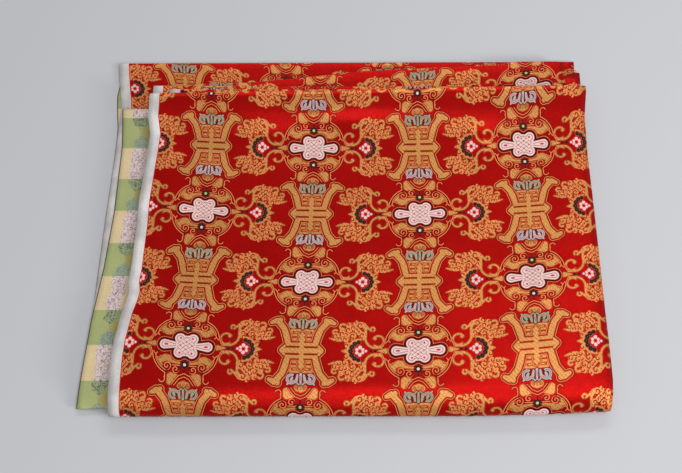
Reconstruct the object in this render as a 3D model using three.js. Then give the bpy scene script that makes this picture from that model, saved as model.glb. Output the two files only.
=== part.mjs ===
// A length of figured brocade, folded back and forth into a flat stack of twelve layers.
// Millimetres, +Z up, +X to the right and +Y away from the viewer; the stack rests on z = 0.
// It is one woven length: both selvages and the two raw ends belong to the same sheet.

import * as THREE from 'three';

// driving sizes of the cloth and the stack
const CLOTH_THICKNESS = 1.0;
const LAYER_PITCH = 1.5;
const TURN_REACH = 0.9;
const TURN_STEPS = 6;
const COLUMNS = 15;
const CENTRE_SHIFT_X = -4.15;
const CENTRE_SHIFT_Y = -13.65;

// long soft roll of the top layer over the front of the stack
const ROLL_TOP_REACH = 23.0;
const ROLL_FOOT_REACH = 6.0;
const ROLL_WAIST_Z = 5.5;
const ROLL_TOP_STEPS = 11;
const ROLL_FOOT_STEPS = 5;

// soft relief of the lying cloth
const RELIEF_HEIGHT = 0.8;
const BACK_PUFF_HEIGHT = 0.7;
const BACK_PUFF_REACH = 9.0;
const RIGHT_DROOP = 2.2;
const RIGHT_DROOP_REACH = 16.0;

// runs of the cloth, in order from one raw end to the other
// level counts layers up from the surface, rows is how finely a run is divided
const RUNS = [
  { name: 'strip', level: 2, rows: 10 },
  { name: 'under', level: 1, rows: 10 },
  { name: 'base', level: 0, rows: 6 },
  { name: 'top', level: 11, rows: 18 },
  { name: 'topBack', level: 10, rows: 6 },
  { name: 'third', level: 9, rows: 6 },
  { name: 'thirdBack', level: 8, rows: 6 },
  { name: 'second', level: 7, rows: 6 },
  { name: 'secondBack', level: 6, rows: 6 },
  { name: 'middle', level: 5, rows: 7 },
  { name: 'middleBack', level: 4, rows: 6 },
  { name: 'inner', level: 3, rows: 7 },
];

// ends and turns of the runs: the line each one follows, left to right
const TURNS = [
  { name: 'stripEnd', xLeft: -191.9, xRight: 205, yLeft: 123.9, yRight: 122.5 },
  { name: 'stripFold', xLeft: -207.6, xRight: 205, yLeft: -137.7, yRight: -131.5 },
  { name: 'underFold', xLeft: -199, xRight: 208.8, yLeft: 169.6, yRight: 171.4 },
  { name: 'frontRoll', xLeft: -179.4, xRight: 210.8, yLeft: -145, yRight: -140.8 },
  { name: 'topFold', xLeft: -165.8, xRight: 213.5, yLeft: 131, yRight: 139.8 },
  { name: 'topInner', xLeft: -174, xRight: 204, yLeft: -127, yRight: -121.5 },
  { name: 'thirdFold', xLeft: -148.7, xRight: 206, yLeft: 136.8, yRight: 137.4 },
  { name: 'thirdInner', xLeft: -172, xRight: 205, yLeft: -130.5, yRight: -125.5 },
  { name: 'secondFold', xLeft: -164.4, xRight: 207, yLeft: 141.9, yRight: 141.2 },
  { name: 'secondInner', xLeft: -174, xRight: 205, yLeft: -133.5, yRight: -128.5 },
  { name: 'middleFold', xLeft: -155.4, xRight: 198, yLeft: 144.8, yRight: 168.3 },
  { name: 'middleInner', xLeft: -175, xRight: 205, yLeft: -136, yRight: -130.5 },
  { name: 'innerEnd', xLeft: -171, xRight: 215.9, yLeft: 138, yRight: 159.3 },
];

// turns that wander on their way across, by name: x and y of each station
const TURN_LINES = {
  frontRoll: [
    { x: -179.4, y: -145 },
    { x: 100, y: -144.6 },
    { x: 168, y: -143.2 },
    { x: 210.8, y: -140.8 },
  ],
  middleFold: [
    { x: -155.4, y: 144.8 },
    { x: -120, y: 148.2 },
    { x: -80, y: 146.8 },
    { x: -30, y: 152.4 },
    { x: 18, y: 158.4 },
    { x: 60, y: 160.8 },
    { x: 100, y: 162.9 },
    { x: 140, y: 164.3 },
    { x: 154, y: 167.8 },
    { x: 198, y: 168.3 },
  ],
  innerEnd: [
    { x: -171, y: 138 },
    { x: 60, y: 148 },
    { x: 198, y: 161.4 },
    { x: 215.9, y: 159.3 },
  ],
};

// selvage wander between the turns: y, left edge and right edge
const EDGE_STATIONS = {
  strip: [
    { y: 88, left: -189.5, right: 205 },
    { y: 25, left: -191.6, right: 206 },
    { y: -22, left: -195.9, right: 206 },
    { y: -67, left: -202.4, right: 205 },
    { y: -116, left: -206.7, right: 204 },
  ],
  under: [
    { y: -88, left: -204.4, right: 205 },
    { y: -45, left: -201.2, right: 206 },
    { y: 18, left: -198.4, right: 206 },
    { y: 75, left: -195.3, right: 206 },
    { y: 128, left: -193.2, right: 206 },
    { y: 151, left: -196.7, right: 208.4 },
  ],
  base: [
    { y: 151, left: -200.7, right: 207 },
    { y: 122, left: -198.2, right: 205 },
    { y: 40, left: -190, right: 204 },
    { y: -100, left: -181, right: 206 },
  ],
  top: [
    { y: -103, left: -179.3, right: 212 },
    { y: -62, left: -177.1, right: 211.3 },
    { y: -19, left: -174.9, right: 211 },
    { y: 32, left: -171.4, right: 210.4 },
    { y: 82, left: -167, right: 209.4 },
    { y: 112, left: -166.2, right: 210.2 },
  ],
  inner: [
    { y: 90, left: -172, right: 205 },
    { y: 122, left: -172, right: 208.5 },
    { y: 141, left: -172, right: 213 },
  ],
};

const levelHeight = (level) => CLOTH_THICKNESS / 2 + LAYER_PITCH * level;
const TOP_LEVEL = 11;
const TOP_HEIGHT = levelHeight(TOP_LEVEL);
const smooth = (t) => t * t * (3 - 2 * t);
const clamp01 = (t) => Math.min(1, Math.max(0, t));

// value of one column of a table at a place along another column
function lookUp(rows, keyColumn, valueColumn, key) {
  const ordered = [...rows].sort((a, b) => a[keyColumn] - b[keyColumn]);
  if (key <= ordered[0][keyColumn]) return ordered[0][valueColumn];
  for (let i = 1; i < ordered.length; i += 1) {
    const before = ordered[i - 1];
    const after = ordered[i];
    if (key <= after[keyColumn]) {
      const t = (key - before[keyColumn]) / (after[keyColumn] - before[keyColumn]);
      return before[valueColumn] + (after[valueColumn] - before[valueColumn]) * t;
    }
  }
  return ordered[ordered.length - 1][valueColumn];
}

// where a turn's line lies at a share of the way across
function turnPoint(turn, across) {
  const x = turn.xLeft + (turn.xRight - turn.xLeft) * across;
  const line = TURN_LINES[turn.name];
  const y = line ? lookUp(line, 'x', 'y', x) : turn.yLeft + (turn.yRight - turn.yLeft) * across;
  return { x, y };
}

// slow waves of the stack, which grow from nothing at the surface to full height on top
function relief(x, y, level) {
  const long = Math.sin(x * 0.0178 + 0.9) * Math.cos(y * 0.0205 - 0.4);
  const slant = 0.6 * Math.sin(x * 0.0263 - y * 0.0221 + 2.1);
  const share = level / TOP_LEVEL;
  return RELIEF_HEIGHT * share * 0.62 * (long + slant);
}

// the right margin of the stack sinks a little
function rightDroop(x, xRight, level) {
  const t = clamp01((x - xRight + RIGHT_DROOP_REACH) / RIGHT_DROOP_REACH);
  return RIGHT_DROOP * (level / TOP_LEVEL) * t * t;
}

// the top layer stands a little proud of its back fold
function backPuff(distance) {
  const t = clamp01(distance / BACK_PUFF_REACH);
  return BACK_PUFF_HEIGHT * 4 * t * (1 - t) * (1 - t) * 1.7;
}

function heightAt(x, y, level, xRight) {
  return levelHeight(level) + relief(x, y, level) - rightDroop(x, xRight, level);
}

// edges of a run at a given y, by way of its stations
function edgeStations(run, fromTurn, toTurn) {
  const wander = EDGE_STATIONS[run.name] || [];
  const start = { y: turnPoint(fromTurn, 0.5).y, left: fromTurn.xLeft, right: fromTurn.xRight };
  const end = { y: turnPoint(toTurn, 0.5).y, left: toTurn.xLeft, right: toTurn.xRight };
  return [start, ...wander, end];
}

// one run of the cloth between two turns, as rows of points
function layRun(run, fromTurn, toTurn) {
  const edges = edgeStations(run, fromTurn, toTurn);
  const startMid = turnPoint(fromTurn, 0.5).y;
  const endMid = turnPoint(toTurn, 0.5).y;
  const rollStart = fromTurn.name === 'frontRoll' ? ROLL_TOP_REACH : 0;
  const rollEnd = toTurn.name === 'frontRoll' ? ROLL_FOOT_REACH : 0;
  const rows = [];
  for (let i = 0; i <= run.rows; i += 1) {
    const along = i / run.rows;
    const yMid = startMid + (endMid - startMid) * along;
    const left = lookUp(edges, 'y', 'left', yMid);
    const right = lookUp(edges, 'y', 'right', yMid);
    const row = [];
    for (let j = 0; j < COLUMNS; j += 1) {
      const across = j / (COLUMNS - 1);
      const x = left + (right - left) * across;
      const yFrom = turnPoint(fromTurn, across).y + rollStart;
      const yTo = turnPoint(toTurn, across).y + rollEnd;
      const y = yFrom + (yTo - yFrom) * along;
      let z = heightAt(x, y, run.level, right);
      if (run.name === 'top') z += backPuff(yTo - y);
      row.push(new THREE.Vector3(x, y, z));
    }
    rows.push(row);
  }
  return rows;
}

// half turn that joins the last row of one run to the first row of the next
function halfTurn(before, after, outward) {
  const rows = [];
  for (let i = 1; i < TURN_STEPS; i += 1) {
    const angle = (Math.PI * i) / TURN_STEPS;
    const swing = (1 - Math.cos(angle)) / 2;
    const reach = outward * TURN_REACH * Math.sin(angle);
    rows.push(before.map((from, j) => {
      const to = after[j];
      const point = from.clone().lerp(to, swing);
      point.y += reach;
      return point;
    }));
  }
  return rows;
}

// the front roll: from the base up round a small foot, then a long slope up to the top
function frontRoll(before, after) {
  const rows = [];
  for (let i = 1; i <= ROLL_FOOT_STEPS; i += 1) {
    const angle = (Math.PI / 2) * (i / ROLL_FOOT_STEPS);
    rows.push(before.map((from, j) => {
      const x = from.x + (after[j].x - from.x) * (i / (ROLL_FOOT_STEPS + ROLL_TOP_STEPS));
      const y = from.y - ROLL_FOOT_REACH * Math.sin(angle);
      const z = from.z + (ROLL_WAIST_Z - from.z) * (1 - Math.cos(angle));
      return new THREE.Vector3(x, y, z);
    }));
  }
  for (let i = 1; i < ROLL_TOP_STEPS; i += 1) {
    const angle = (Math.PI / 2) * (i / ROLL_TOP_STEPS);
    rows.push(before.map((from, j) => {
      const share = (ROLL_FOOT_STEPS + i) / (ROLL_FOOT_STEPS + ROLL_TOP_STEPS);
      const x = from.x + (after[j].x - from.x) * share;
      const y = after[j].y - ROLL_TOP_REACH * Math.cos(angle);
      const z = ROLL_WAIST_Z + (after[j].z - ROLL_WAIST_Z) * Math.sin(angle);
      return new THREE.Vector3(x, y, z);
    }));
  }
  return rows;
}

// middle surface of the whole length, from the raw end of the strip to the inner raw end
function layCloth() {
  const runs = RUNS.map((run, k) => layRun(run, TURNS[k], TURNS[k + 1]));
  const rows = [...runs[0]];
  for (let k = 1; k < runs.length; k += 1) {
    const before = runs[k - 1][runs[k - 1].length - 1];
    const after = runs[k][0];
    const turn = TURNS[k];
    if (turn.name === 'frontRoll') {
      rows.push(...frontRoll(before, after));
    } else {
      const outward = turn.yLeft > 0 ? 1 : -1;
      rows.push(...halfTurn(before, after, outward));
    }
    rows.push(...runs[k]);
  }
  return rows;
}

// unit normal of the middle surface at one point, on the face side of the cloth
function clothNormal(rows, i, j) {
  const last = rows.length - 1;
  const across = rows[i][Math.min(j + 1, COLUMNS - 1)].clone().sub(rows[i][Math.max(j - 1, 0)]);
  const ahead = rows[Math.min(i + 1, last)][j].clone().sub(rows[i][j]).normalize();
  const behind = rows[i][j].clone().sub(rows[Math.max(i - 1, 0)][j]).normalize();
  const along = i === 0 ? ahead : i === last ? behind : ahead.add(behind);
  return across.cross(along).normalize();
}

// closed body of the cloth: face side, reverse side, two selvage edges and two cut ends
function thicken(rows) {
  const count = rows.length;
  const sideSize = count * COLUMNS;
  const positions = new Float32Array(sideSize * 2 * 3);
  for (let i = 0; i < count; i += 1) {
    for (let j = 0; j < COLUMNS; j += 1) {
      const normal = clothNormal(rows, i, j);
      const at = i * COLUMNS + j;
      for (const [side, sign] of [[0, 1], [1, -1]]) {
        const point = rows[i][j].clone().addScaledVector(normal, (sign * CLOTH_THICKNESS) / 2);
        positions[(side * sideSize + at) * 3] = point.x + CENTRE_SHIFT_X;
        positions[(side * sideSize + at) * 3 + 1] = point.y + CENTRE_SHIFT_Y;
        positions[(side * sideSize + at) * 3 + 2] = point.z;
      }
    }
  }
  const face = (i, j) => i * COLUMNS + j;
  const reverse = (i, j) => sideSize + i * COLUMNS + j;
  const triangles = [];
  const quad = (a, b, c, d) => triangles.push(a, b, c, a, c, d);
  for (let i = 0; i < count - 1; i += 1) {
    for (let j = 0; j < COLUMNS - 1; j += 1) {
      quad(face(i, j), face(i, j + 1), face(i + 1, j + 1), face(i + 1, j));
      quad(reverse(i, j), reverse(i + 1, j), reverse(i + 1, j + 1), reverse(i, j + 1));
    }
    const right = COLUMNS - 1;
    quad(face(i, 0), face(i + 1, 0), reverse(i + 1, 0), reverse(i, 0));
    quad(face(i, right), reverse(i, right), reverse(i + 1, right), face(i + 1, right));
  }
  for (let j = 0; j < COLUMNS - 1; j += 1) {
    const end = count - 1;
    quad(face(0, j), reverse(0, j), reverse(0, j + 1), face(0, j + 1));
    quad(face(end, j), face(end, j + 1), reverse(end, j + 1), reverse(end, j));
  }
  const geometry = new THREE.BufferGeometry();
  geometry.setAttribute('position', new THREE.BufferAttribute(positions, 3));
  geometry.setIndex(triangles);
  geometry.computeVertexNormals();
  return geometry;
}

const brocade = new THREE.MeshStandardMaterial({ color: 0xa8101c, roughness: 0.45, metalness: 0 });
const cloth = new THREE.Mesh(thicken(layCloth()), brocade);
cloth.name = 'cloth';

const panel = new THREE.Group();
panel.name = 'brocade_panel';
panel.add(cloth);

export default panel;
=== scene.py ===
"""A length of red figured brocade, folded back and forth, dressed over its plain solid.

The cloth is laid again as one finer sheet in the same folds, and its woven figure, reverse side,
white selvage and frayed cut ends are added. The figure is charted with dots, strokes, rings
and curls.
"""

import logging
import math
from dataclasses import dataclass, field
from enum import Enum
from typing import Iterable, Optional, Sequence, Union

import bpy
import numpy as np
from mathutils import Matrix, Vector


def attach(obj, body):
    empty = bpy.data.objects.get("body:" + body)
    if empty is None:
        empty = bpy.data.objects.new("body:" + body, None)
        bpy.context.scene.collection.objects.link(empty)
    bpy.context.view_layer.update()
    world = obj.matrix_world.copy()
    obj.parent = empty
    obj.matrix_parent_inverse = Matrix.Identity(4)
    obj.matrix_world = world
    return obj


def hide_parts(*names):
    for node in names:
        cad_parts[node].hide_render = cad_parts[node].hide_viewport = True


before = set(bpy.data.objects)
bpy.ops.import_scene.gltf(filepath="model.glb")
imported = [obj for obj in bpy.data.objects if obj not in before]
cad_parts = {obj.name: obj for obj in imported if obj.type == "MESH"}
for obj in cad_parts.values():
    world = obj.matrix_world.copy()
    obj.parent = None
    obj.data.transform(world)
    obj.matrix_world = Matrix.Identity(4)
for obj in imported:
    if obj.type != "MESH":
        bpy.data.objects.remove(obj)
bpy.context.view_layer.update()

LOG = logging.getLogger("brocade")
MM = 0.001

# named values of the solid, in metres
LAYER_PITCH = 0.0015
MID_HEIGHT = 0.0005
TURN_REACH = 0.0009
CENTRE_SHIFT = (-0.00415, -0.01365)
ROLL_TOP_REACH = 0.023
ROLL_FOOT_REACH = 0.006
ROLL_WAIST_Z = 0.0055
RELIEF_HEIGHT = 0.0008
RELIEF_SHARE = 0.62
BACK_PUFF_HEIGHT = 0.0007
BACK_PUFF_REACH = 0.009
RIGHT_DROOP = 0.0022
RIGHT_DROOP_REACH = 0.016
TOP_LEVEL = 11

# waves of the relief: radians a metre across and along, and where each starts
LONG_WAVE_X = (17.8, 0.9)
LONG_WAVE_Y = (20.5, -0.4)
SLANT_WAVE = (26.3, -22.1, 2.1)
SLANT_SHARE = 0.6

# how much the top layer's back fold puffs up, and how far from it the swells reach full height
TOP_PUFF = 1.7
SWELL_RISE = 0.02

# the top layer's place in the tables, the levels whose side edges it covers, and by how much
TOP_RUN = 3
HIDDEN_LEVELS = (3, 10)
HIDDEN_TUCK = 0.0012

# the figure's half repeats across and along the cloth, in millimetres
HALF_ACROSS = 90.4
HALF_ALONG = 58.2

# how far each motif of the figure draws it along, in millimetres, and how softly
PIN_REACH = 38.0
PIN_SOFTNESS = 0.03

Point = tuple[float, float]
Color = tuple[float, float, float, float]
Number = Union[float, "Val"]


class Side(Enum):
    """Which way a turn of the cloth faces."""

    FRONT = -1
    BACK = 1


class Slot(Enum):
    """Material slots of the sheet, in order."""

    FACE = 0
    REVERSE = 1
    EDGE = 2


@dataclass(frozen=True)
class Turn:
    """An end or a turn of the cloth.

    Args:
        left: x and y of its left end.
        right: x and y of its right end.
        line: stations in between, where it wanders.
        side: whether it lies at the front or the back of the stack.
    """

    left: Point
    right: Point
    line: tuple[Point, ...] = ()
    side: Side = Side.BACK

    def y_at(self, x: np.ndarray) -> np.ndarray:
        """Depth of the turn's line at each x."""
        stations = (self.left, *self.line, self.right)
        return np.interp(x, [s[0] for s in stations], [s[1] for s in stations])


@dataclass(frozen=True)
class Run:
    """One layer of the cloth between two turns.

    Args:
        name: what the layer is called.
        level: its place in the stack, counted up from the surface.
        rows: how finely it is divided.
        edges: y, left edge and right edge at each station.
        figure_shift: how far the figure is moved across and along from here on, in millimetres.
    """

    name: str
    level: int
    rows: int
    edges: tuple[tuple[float, float, float], ...] = ()
    figure_shift: Point = (0.0, 0.0)


TURNS: tuple[Turn, ...] = (
    Turn((-0.1919, 0.1239), (0.205, 0.1225)),
    Turn((-0.2076, -0.1377), (0.205, -0.1315), side=Side.FRONT),
    Turn((-0.199, 0.1696), (0.2088, 0.1714)),
    Turn((-0.1794, -0.145), (0.2108, -0.1408), ((0.1, -0.1446), (0.168, -0.1432)), Side.FRONT),
    Turn((-0.1658, 0.131), (0.2135, 0.1398)),
    Turn((-0.174, -0.127), (0.204, -0.1215), side=Side.FRONT),
    Turn((-0.1487, 0.1368), (0.206, 0.1374)),
    Turn((-0.172, -0.1305), (0.205, -0.1255), side=Side.FRONT),
    Turn((-0.1644, 0.1419), (0.207, 0.1412)),
    Turn((-0.174, -0.1335), (0.205, -0.1285), side=Side.FRONT),
    Turn(
        (-0.1554, 0.139),
        (0.198, 0.1683),
        (
            (-0.142, 0.1412),
            (-0.125, 0.1455),
            (-0.08, 0.1468),
            (-0.03, 0.1524),
            (0.018, 0.1584),
            (0.06, 0.1608),
            (0.1, 0.1629),
            (0.14, 0.1643),
            (0.154, 0.1678),
        ),
    ),
    Turn((-0.1795, -0.136), (0.205, -0.1305), side=Side.FRONT),
    Turn((-0.1685, 0.138), (0.2159, 0.1593), ((0.06, 0.148), (0.198, 0.1614))),
)

RUNS: tuple[Run, ...] = (
    Run(
        "strip",
        2,
        56,
        (
            (0.088, -0.1895, 0.205),
            (0.025, -0.1916, 0.206),
            (-0.022, -0.1959, 0.206),
            (-0.067, -0.2024, 0.205),
            (-0.116, -0.2067, 0.204),
        ),
    ),
    Run(
        "under",
        1,
        56,
        (
            (-0.088, -0.2044, 0.205),
            (-0.045, -0.2012, 0.206),
            (0.018, -0.1984, 0.206),
            (0.075, -0.1953, 0.206),
            (0.128, -0.1932, 0.206),
            (0.151, -0.1967, 0.2084),
        ),
    ),
    Run(
        "base",
        0,
        30,
        (
            (0.151, -0.1962, 0.207),
            (0.142, -0.1985, 0.206),
            (0.122, -0.1972, 0.205),
            (0.104, -0.1951, 0.204),
            (0.075, -0.1960, 0.204),
            (0.018, -0.1991, 0.204),
            (-0.045, -0.2019, 0.204),
            (-0.088, -0.2030, 0.205),
            (-0.118, -0.1900, 0.206),
        ),
    ),
    Run(
        "top",
        11,
        120,
        (
            (-0.123, -0.1803, 0.212),
            (-0.0993, -0.1801, 0.212),
            (-0.0873, -0.1792, 0.2118),
            (-0.0645, -0.175, 0.2113),
            (-0.0546, -0.1719, 0.2112),
            (-0.047, -0.1703, 0.2112),
            (-0.0387, -0.1716, 0.2111),
            (-0.0276, -0.1703, 0.211),
            (0.0104, -0.1684, 0.2106),
            (0.0318, -0.1682, 0.2104),
            (0.0617, -0.1654, 0.2098),
            (0.0775, -0.164, 0.2095),
            (0.093, -0.1628, 0.2098),
            (0.1106, -0.1659, 0.2102),
        ),
    ),
    Run("top_back", 10, 20),
    Run("third", 9, 20, figure_shift=(0.0, 20.0)),
    Run("third_back", 8, 20),
    Run("second", 7, 20, figure_shift=(0.0, 10.0)),
    Run("second_back", 6, 20),
    Run("middle", 5, 34, figure_shift=(2.0, -52.0)),
    Run("middle_back", 4, 20),
    Run("inner", 3, 24, ((0.09, -0.172, 0.205), (0.122, -0.172, 0.2085), (0.141, -0.172, 0.213))),
)

@dataclass(frozen=True)
class MotifRow:
    """One row of the figure's motifs on the top layer, from a flower on the left to one on the right.

    Args:
        across: x of its first, middle and last motif, in millimetres.
        along: y of the same three.
    """

    across: tuple[float, float, float]
    along: tuple[float, float, float]

    def places(self) -> np.ndarray:
        """Places of its motifs, on an even bow through the three.

        Returns:
            x and y of each motif.
        """
        share = np.linspace(0.0, 1.0, ROW_MOTIFS)
        first = (1 - share) * (1 - 2 * share)
        middle = 4 * share * (1 - share)
        last = share * (2 * share - 1)
        return np.column_stack([first, middle, last]) @ np.column_stack([self.across, self.along])


# flowers stand at every second place of a row, and knots and medallions take turns between them
ROW_MOTIFS = 9
MOTIF_ROWS: tuple[MotifRow, ...] = (
    MotifRow((-161.0, 17.0, 202.0), (136.5, 133.5, 146.0)),
    MotifRow((-158.0, 17.0, 196.5), (71.0, 65.5, 72.0)),
    MotifRow((-162.5, 16.0, 197.5), (13.5, 5.5, 14.0)),
    MotifRow((-166.0, 13.5, 197.0), (-48.5, -53.0, -45.5)),
    MotifRow((-171.0, 10.5, 196.5), (-102.0, -109.5, -101.0)),
)


class Net:
    """A node tree under construction, with short calls for its arithmetic."""

    def __init__(self, tree: bpy.types.NodeTree) -> None:
        """Start on a tree.

        Args:
            tree: the node tree to fill.
        """
        self.tree = tree
        self.count = 0

    def add(self, kind: str, **settings: object) -> bpy.types.Node:
        """Add one node.

        Args:
            kind: the node's type name.
            settings: properties set on it.

        Returns:
            The node.
        """
        node = self.tree.nodes.new(kind)
        node.location = (180 * (self.count % 40), -220 * (self.count // 40))
        self.count += 1
        for name, value in settings.items():
            setattr(node, name, value)
        return node

    def link(self, source: bpy.types.NodeSocket, target: bpy.types.NodeSocket) -> None:
        """Join two sockets."""
        self.tree.links.new(source, target)

    def feed(self, socket: bpy.types.NodeSocket, value: object) -> None:
        """Put a number, a vector or another node's output into a socket.

        Args:
            socket: the input.
            value: what goes into it.
        """
        if isinstance(value, Val):
            self.link(value.socket, socket)
        elif isinstance(value, bpy.types.NodeSocket):
            self.link(value, socket)
        else:
            socket.default_value = value

    def math(self, operation: str, *values: Number, clamp: bool = False) -> "Val":
        """Add a Math node.

        Args:
            operation: its operation.
            values: its inputs, in order.
            clamp: whether the result is held between 0 and 1.

        Returns:
            Its result.
        """
        node = self.add("ShaderNodeMath", operation=operation)
        for socket, value in zip(node.inputs, values):
            self.feed(socket, value)
        result = Val(self, node.outputs[0])
        return self.clamped(result) if clamp else result

    def clamped(self, value: "Val") -> "Val":
        """A number held between 0 and 1, in a node of its own, which Cycles reads in order.

        Args:
            value: the number.

        Returns:
            The held number.
        """
        node = self.add("ShaderNodeClamp")
        self.feed(node.inputs[0], value)
        return Val(self, node.outputs[0])

    def vector(self, operation: str, *values: object, out: int = 0) -> "Val":
        """Add a Vector Math node.

        Args:
            operation: its operation.
            values: its vector inputs, in order.
            out: which output to return, 0 for the vector and 1 for the number.

        Returns:
            The chosen output.
        """
        node = self.add("ShaderNodeVectorMath", operation=operation)
        for socket, value in zip(node.inputs, values):
            self.feed(socket, value)
        return Val(self, node.outputs[out])

    def scaled(self, direction: Sequence[float], factor: "Val") -> "Val":
        """A fixed vector times a number.

        Args:
            direction: the fixed vector.
            factor: the number.

        Returns:
            The scaled vector.
        """
        node = self.add("ShaderNodeVectorMath", operation="SCALE")
        node.inputs[0].default_value = direction
        self.feed(node.inputs["Scale"], factor)
        return Val(self, node.outputs[0])

    def point(self, x: Number, y: Number) -> "Val":
        """A flat vector from two numbers.

        Args:
            x: across.
            y: along.

        Returns:
            The vector.
        """
        node = self.add("ShaderNodeCombineXYZ")
        self.feed(node.inputs[0], x)
        self.feed(node.inputs[1], y)
        return Val(self, node.outputs[0])

    def parts(self, vector: "Val") -> tuple["Val", "Val"]:
        """The x and y of a vector.

        Args:
            vector: the vector.

        Returns:
            Its x and its y.
        """
        node = self.add("ShaderNodeSeparateXYZ")
        self.feed(node.inputs[0], vector)
        return Val(self, node.outputs[0]), Val(self, node.outputs[1])

    def mix(self, factor: Number, first: object, second: object) -> "Val":
        """Blend two colours.

        Args:
            factor: share of the second.
            first: the first colour.
            second: the second colour.

        Returns:
            The blend.
        """
        node = self.add("ShaderNodeMix", data_type="RGBA")
        self.feed(node.inputs[0], factor)
        self.feed(node.inputs[6], first)
        self.feed(node.inputs[7], second)
        return Val(self, node.outputs[2])

    def noise(self, vector: object, scale: float, detail: float = 2.0) -> "Val":
        """Flat noise.

        Args:
            vector: where it is read.
            scale: its scale.
            detail: its octaves.

        Returns:
            The noise, about 0.5.
        """
        node = self.add("ShaderNodeTexNoise", noise_dimensions="2D")
        self.feed(node.inputs["Vector"], vector)
        node.inputs["Scale"].default_value = scale
        node.inputs["Detail"].default_value = detail
        return Val(self, node.outputs[0])


class Val:
    """An output socket that can be added, multiplied and compared."""

    def __init__(self, net: Net, socket: bpy.types.NodeSocket) -> None:
        """Wrap a socket.

        Args:
            net: the tree that it is in.
            socket: the output.
        """
        self.net = net
        self.socket = socket

    def __add__(self, other: Number) -> "Val":
        """Sum."""
        return self.net.math("ADD", self, other)

    def __sub__(self, other: Number) -> "Val":
        """Difference."""
        return self.net.math("SUBTRACT", self, other)

    def __rsub__(self, other: Number) -> "Val":
        """Difference from a number."""
        return self.net.math("SUBTRACT", other, self)

    def __mul__(self, other: Number) -> "Val":
        """Product."""
        return self.net.math("MULTIPLY", self, other)

    def __neg__(self) -> "Val":
        """Negative."""
        return self.net.math("MULTIPLY", self, -1.0)

    def __abs__(self) -> "Val":
        """Size without sign."""
        return self.net.math("ABSOLUTE", self)

    def least(self, other: Number) -> "Val":
        """The smaller of two."""
        return self.net.math("MINIMUM", self, other)

    def most(self, other: Number) -> "Val":
        """The larger of two."""
        return self.net.math("MAXIMUM", self, other)

    def inside(self, soft: float = 0.22) -> "Val":
        """1 where a distance is below zero and 0 outside, over a soft edge.

        Args:
            soft: width of the edge.

        Returns:
            The mask.
        """
        return self.net.math("MULTIPLY_ADD", self, -1.0 / soft, 0.5, clamp=True)

    def band(self, low: float, high: float) -> "Val":
        """Distance to the band between two values of this distance.

        Args:
            low: lower value.
            high: upper value.

        Returns:
            The distance, negative inside the band.
        """
        return abs(self - (low + high) / 2) - (high - low) / 2


def new_tree(
    name: str, kind: str, inputs: dict[str, str], outputs: dict[str, str]
) -> bpy.types.NodeTree:
    """Start a node group with its sockets.

    Args:
        name: its name.
        kind: Shader or Geometry.
        inputs: what each input carries, by its name.
        outputs: what each output carries, by its name.

    Returns:
        The group.
    """
    tree = bpy.data.node_groups.new(name, f"{kind}NodeTree")
    for side, sockets in (("INPUT", inputs), ("OUTPUT", outputs)):
        for label, content in sockets.items():
            tree.interface.new_socket(label, in_out=side, socket_type=f"NodeSocket{content}")
    return tree


@dataclass(frozen=True)
class Dot:
    """A filled round."""

    x: float
    y: float
    r: float

    def distance(self, net: Net, at: Val) -> Val:
        """Signed distance to it."""
        return net.vector("DISTANCE", at, (self.x, self.y, 0.0), out=1) - self.r


@dataclass(frozen=True)
class Stroke:
    """A straight stroke with round ends, whose half width may change along it."""

    x0: float
    y0: float
    x1: float
    y1: float
    w: float
    w_end: Optional[float] = None

    def distance(self, net: Net, at: Val) -> Val:
        """Signed distance to it.

        Args:
            net: the tree.
            at: where it is measured.

        Returns:
            The distance.
        """
        run = (self.x1 - self.x0, self.y1 - self.y0, 0.0)
        length = math.hypot(*run)
        from_start = net.vector("SUBTRACT", at, (self.x0, self.y0, 0.0))
        unit = tuple(c / length**2 for c in run)
        share = net.clamped(net.vector("DOT_PRODUCT", from_start, unit, out=1))
        gap = net.vector("DISTANCE", from_start, net.scaled(run, share), out=1)
        if self.w_end is None:
            return gap - self.w
        return gap - net.math("MULTIPLY_ADD", share, self.w_end - self.w, self.w)


@dataclass(frozen=True)
class Ring:
    """A round line, which may be open towards one side.

    Args:
        x: centre across.
        y: centre along.
        r: radius of its middle.
        w: half width.
        open_to: direction of the opening in degrees, or None for a whole ring.
        half_open: half the angle of the opening, in degrees.
    """

    x: float
    y: float
    r: float
    w: float
    open_to: Optional[float] = None
    half_open: float = 50.0

    def distance(self, net: Net, at: Val) -> Val:
        """Signed distance to it.

        Args:
            net: the tree.
            at: where it is measured.

        Returns:
            The distance.
        """
        if self.open_to is None:
            reach = net.vector("DISTANCE", at, (self.x, self.y, 0.0), out=1)
            return abs(reach - self.r) - self.w
        away = net.vector("SUBTRACT", at, (self.x, self.y, 0.0))
        reach = net.vector("LENGTH", away, out=1)
        turn = math.radians(self.open_to)
        ahead = net.vector("DOT_PRODUCT", away, (math.cos(turn), math.sin(turn), 0.0), out=1)
        opening = net.math("MULTIPLY_ADD", reach, -math.cos(math.radians(self.half_open)), ahead)
        return (abs(reach - self.r) - self.w).most(opening)


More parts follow.
